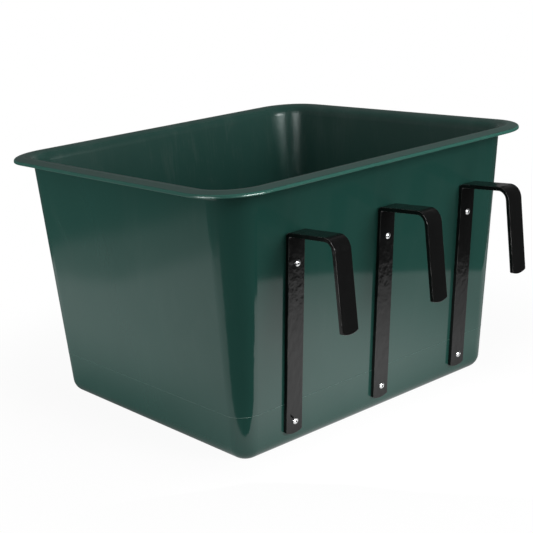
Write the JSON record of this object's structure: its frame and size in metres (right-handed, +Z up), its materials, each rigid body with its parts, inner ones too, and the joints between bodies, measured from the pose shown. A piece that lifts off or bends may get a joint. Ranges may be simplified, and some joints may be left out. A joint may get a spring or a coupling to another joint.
{
  "type": "fence feeder",
  "caption": "Deep drafted feed tub with a rolled rim and flat-bar hooks riveted to its back wall, for hanging on a fence rail or standing on the ground.",
  "frame": {"origin": "middle of the tub's flat base, on the ground", "axes": "+X along the fence, +Y from the tub toward the fence, +Z up"},
  "size_m": [0.53, 0.5437, 0.3403],
  "materials": {
    "green_plastic": "semi-gloss moulded",
    "black_paint": "gloss",
    "rivet_aluminium": "satin",
    "stem_steel": "dull",
    "washer_steel": "satin"
  },
  "bodies": {
    "root": {"tub": "green_plastic", "hook_right": "black_paint", "rivet_right_upper": "rivet_aluminium", "stem_right_upper": "stem_steel", "washer_right_upper": "washer_steel", "rivet_right_lower": "rivet_aluminium", "stem_right_lower": "stem_steel", "washer_right_lower": "washer_steel", "hook_middle": "black_paint", "rivet_middle_upper": "rivet_aluminium", "stem_middle_upper": "stem_steel", "washer_middle_upper": "washer_steel", "rivet_middle_lower": "rivet_aluminium", "stem_middle_lower": "stem_steel", "washer_middle_lower": "washer_steel", "hook_left": "black_paint", "rivet_left_upper": "rivet_aluminium", "stem_left_upper": "stem_steel", "washer_left_upper": "washer_steel", "rivet_left_lower": "rivet_aluminium", "stem_left_lower": "stem_steel", "washer_left_lower": "washer_steel"}
  },
  "joints": []
}
